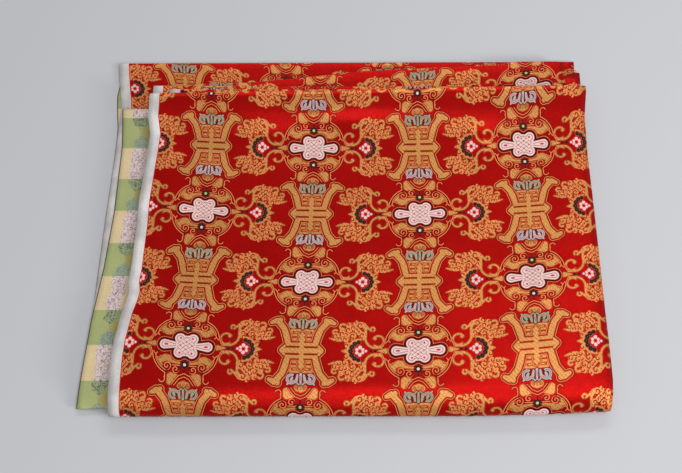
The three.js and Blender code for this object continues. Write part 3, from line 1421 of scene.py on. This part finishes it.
@dataclass(frozen=True)
class Fray:
    """Loose warp ends along a cut end of the cloth.

    Args:
        count: how many threads stand out.
        length: of the longest thread, in metres.
        radius: of a thread.
        seed: of their scatter.
        middle: where a thread's middle handle lies, for a thread one metre long.
        tip: where its tip lies.
        least_turn: lowest turn of a thread about x, y and z, in radians.
        most_turn: highest turn.
        shortest: length of the shortest thread, as a share of the longest.
    """

    count: int = 280
    length: float = 0.0034
    radius: float = 0.00017
    seed: int = 7
    middle: tuple[float, float, float] = (0.12, 0.55, 0.10)
    tip: tuple[float, float, float] = (-0.05, 1.0, -0.06)
    least_turn: tuple[float, float, float] = (-0.05, -0.6, -0.75)
    most_turn: tuple[float, float, float] = (0.12, 0.6, 0.75)
    shortest: float = 0.25

    def nodes(self) -> bpy.types.NodeTree:
        """Build the Geometry Nodes tree.

        Returns:
            The tree, which sets threads along a line of edges.
        """
        inputs = {
            "Line": "Geometry",
            "Count": "Int",
            "Length": "Float",
            "Radius": "Float",
            "Seed": "Int",
            "Yarn": "Material",
        }
        tree = new_tree("Brocade fray", "Geometry", inputs, {"Threads": "Geometry"})
        net = Net(tree)
        given = net.add("NodeGroupInput")
        curve = net.add("GeometryNodeMeshToCurve")
        net.link(given.outputs["Line"], curve.inputs["Mesh"])
        spaced = net.add("GeometryNodeResampleCurve")
        net.link(curve.outputs[0], spaced.inputs["Curve"])
        net.link(given.outputs["Count"], spaced.inputs["Count"])
        bend = net.add("GeometryNodeCurveQuadraticBezier")
        bend.inputs["Resolution"].default_value = 3
        bend.inputs["Start"].default_value = (0.0, 0.0, 0.0)
        for name, direction in (("Middle", self.middle), ("End", self.tip)):
            net.feed(bend.inputs[name], net.scaled(direction, Val(net, given.outputs["Length"])))
        profile = net.add("GeometryNodeCurvePrimitiveCircle")
        profile.inputs["Resolution"].default_value = 4
        net.link(given.outputs["Radius"], profile.inputs["Radius"])
        thread = net.add("GeometryNodeCurveToMesh")
        net.link(bend.outputs[0], thread.inputs["Curve"])
        net.link(profile.outputs[0], thread.inputs["Profile Curve"])
        thread.inputs["Fill Caps"].default_value = True
        turn = net.add("FunctionNodeRandomValue", data_type="FLOAT_VECTOR")
        turn.inputs[0].default_value = self.least_turn
        turn.inputs[1].default_value = self.most_turn
        net.link(given.outputs["Seed"], turn.inputs["Seed"])
        size = net.add("FunctionNodeRandomValue", data_type="FLOAT")
        size.inputs[2].default_value = self.shortest
        size.inputs[3].default_value = 1.0
        net.link(given.outputs["Seed"], size.inputs["Seed"])
        placed = net.add("GeometryNodeInstanceOnPoints")
        net.link(spaced.outputs[0], placed.inputs["Points"])
        net.link(thread.outputs[0], placed.inputs["Instance"])
        net.link(turn.outputs[0], placed.inputs["Rotation"])
        net.link(size.outputs[1], placed.inputs["Scale"])
        real = net.add("GeometryNodeRealizeInstances")
        net.link(placed.outputs[0], real.inputs[0])
        dressed = net.add("GeometryNodeSetMaterial")
        net.link(real.outputs[0], dressed.inputs["Geometry"])
        net.link(given.outputs["Yarn"], dressed.inputs["Material"])
        outs = net.add("NodeGroupOutput")
        net.link(dressed.outputs[0], outs.inputs[0])
        return tree

    def build(self, name: str, line: np.ndarray, yarn: bpy.types.Material) -> bpy.types.Object:
        """Build the threads along a line.

        Args:
            name: name of the piece.
            line: points of the cut end.
            yarn: the threads' material.

        Returns:
            The object.
        """
        mesh = bpy.data.meshes.new(name)
        mesh.from_pydata(line.tolist(), [(i, i + 1) for i in range(len(line) - 1)], [])
        piece = bpy.data.objects.new(name, mesh)
        bpy.context.scene.collection.objects.link(piece)
        tree = self.nodes()
        values = {
            "Count": self.count,
            "Length": self.length,
            "Radius": self.radius,
            "Seed": self.seed,
            "Yarn": yarn,
        }
        modifier = piece.modifiers.new("Fray", "NODES")
        modifier.node_group = tree
        for item in tree.interface.items_tree:
            if item.in_out == "INPUT" and item.name in values:
                modifier[item.identifier] = values[item.name]
        bpy.context.view_layer.update()
        made = bpy.data.meshes.new_from_object(piece.evaluated_get(bpy.context.evaluated_depsgraph_get()))
        piece.modifiers.remove(modifier)
        piece.data = made
        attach(piece, "root")
        LOG.info("%s: %d faces", name, len(made.polygons))
        return piece


def lengths(points: np.ndarray, axis: int) -> np.ndarray:
    """Length along a grid of points, from its first row or column to each point.

    Args:
        points: the grid, rows by columns by 3.
        axis: 0 to go along the cloth, 1 to go across it.

    Returns:
        The length at each point.
    """
    steps = np.linalg.norm(np.diff(points, axis=axis), axis=2)
    return np.insert(np.cumsum(steps, axis=axis), 0, 0.0, axis=axis)


def pinned_places(points: np.ndarray) -> np.ndarray:
    """Places in the figure of points on the top layer, by way of its rows of motifs.

    Args:
        points: x and y in millimetres, in an array whose last axis holds the two.

    Returns:
        Place across and along in millimetres, in an array of the same shape.
    """
    pins = np.concatenate([row.places() for row in MOTIF_ROWS])
    lattice_x = (np.arange(ROW_MOTIFS) / 2 - 1.5) * HALF_ACROSS
    lattice_y = (1 - np.arange(len(MOTIF_ROWS))) * HALF_ALONG
    lattice = np.stack(np.meshgrid(lattice_x, lattice_y), axis=2).reshape(-1, 2)
    base = np.column_stack([pins, np.ones(len(pins))])
    fit, *_ = np.linalg.lstsq(base, lattice, rcond=None)
    rest = lattice - base @ fit
    weight = np.exp(-((points[..., None, :] - pins) ** 2).sum(axis=-1) / (2 * PIN_REACH**2))
    gram = np.exp(-((pins[:, None] - pins) ** 2).sum(axis=-1) / (2 * PIN_REACH**2))
    solved = np.linalg.solve(gram + PIN_SOFTNESS * np.eye(len(gram)), rest)
    return points @ fit[:2] + fit[2] + weight @ solved


def started(name: str) -> tuple[bpy.types.Material, Net, bpy.types.Node]:
    """Start a material with a Principled shader joined to its output.

    Args:
        name: its name.

    Returns:
        The material, its tree and the shader.
    """
    material = bpy.data.materials.new(name)
    material.use_nodes = True
    material.node_tree.nodes.clear()
    net = Net(material.node_tree)
    shader = net.add("ShaderNodeBsdfPrincipled")
    output = net.add("ShaderNodeOutputMaterial")
    net.link(shader.outputs[0], output.inputs[0])
    return material, net, shader


def group_at(net: Net, group: bpy.types.NodeTree, place: Val) -> bpy.types.Node:
    """Place a node group that reads a place on the cloth.

    Args:
        net: the tree.
        group: the group.
        place: the place, in millimetres.

    Returns:
        The group's node.
    """
    node = net.add("ShaderNodeGroup")
    node.node_tree = group
    net.feed(node.inputs["Place"], place)
    return node


def shade_by_weave(net: Net, shader: bpy.types.Node, color: Val, woven: bpy.types.Node) -> None:
    """Colour a shader, shaded by the weave.

    Args:
        net: the tree.
        shader: the shader.
        color: the colour of the yarns.
        woven: the weave's node.
    """
    tone = net.add("ShaderNodeMix", data_type="RGBA", blend_type="MULTIPLY")
    tone.inputs[0].default_value = 1.0
    net.feed(tone.inputs[6], color)
    net.link(woven.outputs["Shade"], tone.inputs[7])
    net.link(tone.outputs[2], shader.inputs["Base Color"])


def raise_by_weave(
    net: Net, shader: bpy.types.Node, woven: bpy.types.Node, strength: float, depth: float
) -> None:
    """Raise a shader's surface with the weave.

    Args:
        net: the tree.
        shader: the shader.
        woven: the weave's node.
        strength: of the relief.
        depth: of the relief, in metres.
    """
    bump = net.add("ShaderNodeBump")
    bump.inputs["Strength"].default_value = strength
    bump.inputs["Distance"].default_value = depth
    net.link(woven.outputs["Height"], bump.inputs["Height"])
    net.link(bump.outputs[0], shader.inputs["Normal"])


@dataclass(frozen=True)
class FaceFinish:
    """Face of the brocade: satin ground, metallic figure and white selvage.

    Args:
        ground_roughness: of the satin.
        gold_roughness: of the metallic yarn.
        ground_metal: how much of the satin's gleam takes the yarn's colour.
        gold_metal: the same for the metallic yarn.
        selvage_width: in metres.
        line_width: width of the red line beside the selvage, in metres.
        line_color: its colour.
        selvage_painted_shade: the darker of the two colours that the selvage varies between, a painted
            fold shade.
        selvage_painted_sheen: the brighter one, a painted satin sheen.
        selvage_gloss: how strongly it gleams.
        slant_pitch: distance between the slanting ribs of the metallic yarn, in millimetres.
        slant_depth: how much they darken it.
        speck_depth: how much its mottle darkens it.
        tarnish: colour of the metallic yarn where it dips under the others.
        relief: strength of the weave's relief.
        relief_depth: its depth, in metres.
    """

    ground_roughness: float = 0.30
    gold_roughness: float = 0.42
    ground_metal: float = 0.6
    gold_metal: float = 0.62
    selvage_width: float = 0.0085
    line_width: float = 0.0007
    line_color: Color = (0.55, 0.02, 0.03, 1.0)
    selvage_painted_shade: Color = (0.43, 0.41, 0.395, 1.0)
    selvage_painted_sheen: Color = (0.58, 0.555, 0.535, 1.0)
    selvage_gloss: float = 0.35
    slant_pitch: float = 3.4
    slant_depth: float = 0.16
    speck_depth: float = 0.5
    tarnish: Color = (0.24, 0.12, 0.022, 1.0)
    relief: float = 0.35
    relief_depth: float = 0.00025

    def tarnished(self, net: Net, place: Val, gold: Val, color: Val) -> Val:
        """Darken the metallic yarn in slanting ribs and a fine mottle.

        Args:
            net: the tree.
            place: place in the figure.
            gold: where the metallic yarn shows.
            color: the figure's colour.

        Returns:
            The darkened colour.
        """
        speck = net.math("MULTIPLY_ADD", net.noise(place, 1.1, 3.0), 6.0, -2.6, clamp=True)
        x, y = net.parts(place)
        slant = net.math("SINE", (x + y) * (math.tau / self.slant_pitch))
        mottle = net.math("MULTIPLY_ADD", speck, self.speck_depth, 0.1)
        dip = net.math("MULTIPLY_ADD", slant, self.slant_depth, mottle, clamp=True)
        return net.mix(gold * dip, color, self.tarnish)

    def build(self, figure: bpy.types.NodeTree, weave: bpy.types.NodeTree) -> bpy.types.Material:
        """Build the material.

        Args:
            figure: the figure's node group.
            weave: the weave's node group.

        Returns:
            The material.
        """
        material, net, shader = started("Brocade face")
        place = Val(net, net.add("ShaderNodeUVMap", uv_map="figure").outputs[0])
        woven = group_at(net, weave, place)
        drawn = group_at(net, figure, place)
        gold = Val(net, drawn.outputs["Gold"])
        edges = Val(net, net.add("ShaderNodeUVMap", uv_map="edges").outputs[0])
        from_left, _ = net.parts(edges)
        selvage = net.math("LESS_THAN", from_left, self.selvage_width)
        red_line = net.math("LESS_THAN", from_left, self.selvage_width + self.line_width)
        color = self.tarnished(net, place, gold, Val(net, drawn.outputs["Color"]))
        color = net.mix(red_line, color, self.line_color)
        # painted sheen and shade: slow noise swings the selvage between a shaded colour and a gleaming
        # one, as its satin would look in folds under light
        painted_sheen = net.math("MULTIPLY_ADD", net.noise(place, 0.04, 2.0), 4.0, -1.5, clamp=True)
        band = net.mix(painted_sheen, self.selvage_painted_shade, self.selvage_painted_sheen)
        color = net.mix(selvage, color, band)
        shade_by_weave(net, shader, color, woven)
        open_cloth = 1.0 - selvage
        metal_gap = self.gold_metal - self.ground_metal
        metal = net.math("MULTIPLY_ADD", gold, metal_gap, self.ground_metal)
        flat = Val(net, drawn.outputs["Float"])
        dull = net.math("MULTIPLY_ADD", flat, -self.ground_metal, self.ground_metal)
        metal = metal.least(dull.most(gold * self.gold_metal)) * open_cloth
        net.feed(shader.inputs["Metallic"], metal)
        rough_gap = self.gold_roughness - self.ground_roughness
        rough = net.math("MULTIPLY_ADD", flat, rough_gap, self.ground_roughness)
        net.feed(shader.inputs["Roughness"], rough)
        shader.inputs["Specular IOR Level"].default_value = 0.03
        net.feed(shader.inputs["Coat Weight"], selvage * self.selvage_gloss)
        shader.inputs["Coat Roughness"].default_value = 0.28
        raise_by_weave(net, shader, woven, self.relief, self.relief_depth)
        return material


@dataclass(frozen=True)
class ReverseFinish:
    """Reverse of the brocade: weft stripes, with the figure's yarns floating loose.

    Args:
        stripe: length of one stripe along the cloth, in millimetres.
        phase: where a stripe begins, as a share of two stripes.
        column_shift: how far the loose yarns lie beside the flowers, in millimetres.
        column_half: half the width of their column.
        float_cover: how much of the ground they hide.
        edge_shade_width: width of the dark dotted line of painted shade along the left edge, in metres.
    """

    stripe: float = 29.1
    phase: float = -0.235
    column_shift: float = 3.0
    column_half: float = 6.2
    float_cover: float = 0.7
    edge_shade_width: float = 0.0008
    green: Color = (0.34, 0.37, 0.15, 1.0)
    cream: Color = (0.64, 0.50, 0.28, 1.0)
    olive: Color = (0.34, 0.26, 0.07, 1.0)
    dark_green: Color = (0.04, 0.07, 0.05, 1.0)
    blue: Color = (0.12, 0.19, 0.30, 1.0)
    lavender: Color = (0.66, 0.54, 0.60, 1.0)
    plum: Color = (0.24, 0.17, 0.19, 1.0)
    sage: Color = (0.26, 0.31, 0.18, 1.0)
    brown: Color = (0.20, 0.06, 0.03, 1.0)
    edge_shade_color: Color = (0.03, 0.03, 0.025, 1.0)
    relief: float = 0.5
    relief_depth: float = 0.0003

    def floats(self, net: Net, place: Val, cycle: Val, ground: Val) -> Val:
        """The figure's yarns, floating loose down the back of the flower columns.

        Args:
            net: the tree.
            place: place in the figure.
            cycle: 0 to 2 through a cream and a green stripe.
            ground: colour under them.

        Returns:
            The colour with them.
        """
        x, _ = net.parts(place)
        half = HALF_ACROSS / 2
        aside = net.math("WRAP", x - half - self.column_shift, half, -half)
        green = net.math("GREATER_THAN", cycle, 1.0)
        pinch = net.math("MULTIPLY_ADD", abs(cycle - 1.5), 6.0, -0.5, clamp=True) * self.column_half
        reach = net.math("MULTIPLY_ADD", pinch - self.column_half, green, self.column_half)
        wander = net.math("MULTIPLY_ADD", net.noise(place, 0.12, 2.0), 7.0, -3.5)
        inside = (abs(aside + wander) - reach).inside(1.2)
        vein = abs(net.noise(place, 0.36, 2.0) - 0.5)
        lines = net.math("MULTIPLY_ADD", vein, -18.0, 1.15, clamp=True)
        yarn = net.mix(net.math("GREATER_THAN", cycle, 1.5), self.dark_green, self.blue)
        yarn = net.mix(green, self.plum, yarn)
        patch_at = net.point(aside - 4.0, cycle * 14.0)
        patch = net.vector("DISTANCE", patch_at, (0.0, 21.5, 0.0), out=1)
        spot_at = net.point(aside + 0.5, cycle * 18.0)
        spot = net.vector("DISTANCE", spot_at, (0.0, 9.0, 0.0), out=1)
        color = net.mix((patch - 3.6).inside(1.5) * self.float_cover, ground, self.olive)
        pale = net.mix(green, self.lavender, self.sage)
        color = net.mix(inside * self.float_cover, color, pale)
        color = net.mix(inside * lines, color, yarn)
        return net.mix((spot - 1.9).inside(1.6) * lines, color, self.brown)

    def build(self, weave: bpy.types.NodeTree) -> bpy.types.Material:
        """Build the material.

        Args:
            weave: the weave's node group.

        Returns:
            The material.
        """
        material, net, shader = started("Brocade reverse")
        place = Val(net, net.add("ShaderNodeUVMap", uv_map="figure").outputs[0])
        woven = group_at(net, weave, place)
        _, y = net.parts(place)
        part = net.math("FRACT", net.math("MULTIPLY_ADD", y, 0.5 / self.stripe, self.phase))
        ground = net.mix(net.math("GREATER_THAN", part, 0.5), self.cream, self.green)
        color = self.floats(net, place, part * 2.0, ground)
        edges = Val(net, net.add("ShaderNodeUVMap", uv_map="edges").outputs[0])
        from_left, _ = net.parts(edges)
        # painted shade: a dark dotted line along the left edge stands in for the shaded side of the
        # cloth's edge
        edge_shade = net.math("LESS_THAN", from_left, self.edge_shade_width)
        color = net.mix(edge_shade * (net.math("SINE", y * 5.0) * 0.2 + 0.8), color, self.edge_shade_color)
        shade_by_weave(net, shader, color, woven)
        shader.inputs["Roughness"].default_value = 0.6
        shader.inputs["Specular IOR Level"].default_value = 0.25
        raise_by_weave(net, shader, woven, self.relief, self.relief_depth)
        return material


@dataclass(frozen=True)
class EdgeFinish:
    """Cut and folded edges, where the yarns' ends show."""

    red: Color = (0.30, 0.02, 0.02, 1.0)
    pale: Color = (0.6, 0.5, 0.4, 1.0)
    roughness: float = 0.8

    def build(self) -> bpy.types.Material:
        """Build the material.

        Returns:
            The material.
        """
        material, net, shader = started("Brocade edge")
        place = Val(net, net.add("ShaderNodeUVMap", uv_map="figure").outputs[0])
        color = net.mix(net.noise(place, 1.5), self.red, self.pale)
        net.feed(shader.inputs["Base Color"], color)
        shader.inputs["Roughness"].default_value = self.roughness
        return material


@dataclass(frozen=True)
class ThreadFinish:
    """Loose yarns: mostly red, with some gold ones."""

    red: Color = (0.33, 0.006, 0.004, 1.0)
    gold: Color = (0.62, 0.32, 0.10, 1.0)
    roughness: float = 0.55

    def build(self) -> bpy.types.Material:
        """Build the material.

        Returns:
            The material.
        """
        material, net, shader = started("Brocade thread")
        place = Val(net, net.add("ShaderNodeTexCoord").outputs["Object"])
        pick = net.math("MULTIPLY_ADD", net.noise(place, 420.0, 0.0), 12.0, -7.2, clamp=True)
        net.feed(shader.inputs["Base Color"], net.mix(pick, self.red, self.gold))
        shader.inputs["Roughness"].default_value = self.roughness
        return material


@dataclass(frozen=True)
class WeaveChart:
    """Fine twill of the cloth, as a node group.

    Args:
        ends: warp yarns in each millimetre.
        picks: weft yarns in each millimetre.
        twill_height: how far the twill stands out.
        slub_scale: scale of the yarns' unevenness.
        slub_shade: how much it lightens them.
        slub_height: how far it stands out.
        broad_scale: scale of the broad shading.
        broad_shade: how much it lightens the cloth.
        least_shade: shade of the darkest places.
    """

    ends: float = 1.9
    picks: float = 1.5
    twill_height: float = 0.25
    slub_scale: float = 0.9
    slub_shade: float = 0.34
    slub_height: float = 0.4
    broad_scale: float = 0.035
    broad_shade: float = 0.24
    least_shade: float = 0.70

    def build(self) -> bpy.types.NodeTree:
        """Build the group.

        Returns:
            The group, with a Place input in millimetres, and Shade and Height outputs.
        """
        outputs = {"Shade": "Color", "Height": "Float"}
        tree = new_tree("Brocade weave", "Shader", {"Place": "Vector"}, outputs)
        net = Net(tree)
        given = net.add("NodeGroupInput")
        place = Val(net, given.outputs["Place"])
        x, y = net.parts(place)
        warp = net.math("SINE", x * (math.tau * self.ends))
        weft = net.math("SINE", y * (math.tau * self.picks))
        twill = net.math("MULTIPLY_ADD", warp * weft, self.twill_height, 0.5)
        slub = net.noise(place, self.slub_scale, 3.0)
        broad = net.noise(place, self.broad_scale, 2.0)
        tone = net.math("MULTIPLY_ADD", broad, self.broad_shade, self.least_shade)
        tone = net.math("MULTIPLY_ADD", slub, self.slub_shade, tone)
        outs = net.add("NodeGroupOutput")
        net.feed(outs.inputs["Shade"], tone)
        net.feed(outs.inputs["Height"], net.math("MULTIPLY_ADD", slub, self.slub_height, twill))
        return tree


@dataclass(frozen=True)
class Lamp:
    """A soft area light that faces the cloth.

    Args:
        name: its name.
        place: where it stands.
        power: in watts.
        size: its two sides, in metres.
    """

    name: str
    place: tuple[float, float, float]
    power: float
    size: Point


@dataclass(frozen=True)
class Studio:
    """Floor, lights and camera.

    Args:
        lamps: the lights.
        lens: of the camera, in millimetres.
        target: what the camera looks at.
        distance: from the camera to it.
        elevation: of the camera over the floor, in degrees.
        floor_half: half the floor's side, in metres.
        floor_color: its colour.
        floor_roughness: its roughness.
        sky_color: colour of the light from all around.
        sky_strength: its strength.
    """

    lamps: tuple[Lamp, ...] = (
        Lamp("Key", (0.3, 2.95, 2.2), 42.0, (2.2, 0.5)),
        Lamp("Top", (0.34, -0.34, 1.2), 10.0, (1.3, 0.16)),
        Lamp("Fill", (2.0, -0.9, 0.8), 34.0, (0.6, 0.5)),
    )
    lens: float = 50.0
    target: tuple[float, float, float] = (*CENTRE_SHIFT, 0.017)
    distance: float = 0.7775
    elevation: float = 70.0
    floor_half: float = 3.0
    floor_color: Color = (0.42, 0.425, 0.44, 1.0)
    floor_roughness: float = 0.9
    sky_color: Color = (0.88, 0.88, 0.91, 1.0)
    sky_strength: float = 0.53

    def build(self) -> None:
        """Add the floor, the lights and the camera."""
        self.floor()
        for lamp in self.lamps:
            self.light(lamp)
        world = bpy.data.worlds.new("Studio")
        world.use_nodes = True
        background = world.node_tree.nodes["Background"]
        background.inputs["Color"].default_value = self.sky_color
        background.inputs["Strength"].default_value = self.sky_strength
        bpy.context.scene.world = world
        bpy.context.scene.view_settings.view_transform = "Standard"
        self.camera()

    def floor(self) -> None:
        """Add a plain pale floor."""
        mesh = bpy.data.meshes.new("Floor")
        half = self.floor_half
        corners = [(-half, -half, 0.0), (half, -half, 0.0), (half, half, 0.0), (-half, half, 0.0)]
        mesh.from_pydata(corners, [], [(0, 1, 2, 3)])
        floor = bpy.data.objects.new("Floor", mesh)
        bpy.context.scene.collection.objects.link(floor)
        material, _, shader = started("Floor")
        shader.inputs["Base Color"].default_value = self.floor_color
        shader.inputs["Roughness"].default_value = self.floor_roughness
        mesh.materials.append(material)

    def light(self, lamp: Lamp) -> None:
        """Add one light.

        Args:
            lamp: what it is.
        """
        data = bpy.data.lights.new(lamp.name, "AREA")
        data.shape = "RECTANGLE"
        data.size, data.size_y = lamp.size
        data.energy = lamp.power
        holder = bpy.data.objects.new(lamp.name, data)
        bpy.context.scene.collection.objects.link(holder)
        holder.location = lamp.place
        away = Vector(lamp.place) - Vector(self.target)
        holder.rotation_euler = away.to_track_quat("Z", "Y").to_euler()

    def camera(self) -> None:
        """Add the camera at the photograph's viewing angle."""
        data = bpy.data.cameras.new("Camera")
        data.lens = self.lens
        data.sensor_width = 36.0
        data.clip_start = 0.01
        holder = bpy.data.objects.new("Camera", data)
        bpy.context.scene.collection.objects.link(holder)
        lift = math.radians(self.elevation)
        offset = Vector((0.0, -math.cos(lift), math.sin(lift))) * self.distance
        holder.location = Vector(self.target) + offset
        holder.rotation_euler = offset.to_track_quat("Z", "Y").to_euler()
        bpy.context.scene.camera = holder


def main() -> None:
    """Build every piece in order."""
    logging.basicConfig(level=logging.INFO, format="%(name)s: %(message)s")
    Studio().build()
    figure = FigureChart().build()
    weave = WeaveChart().build()
    face, reverse = FaceFinish().build(figure, weave), ReverseFinish().build(weave)
    materials = [face, reverse, EdgeFinish().build()]
    ClothSheet().build("brocade_cloth", materials, ThreadFinish().build())


if __name__ == "__main__":
    main()
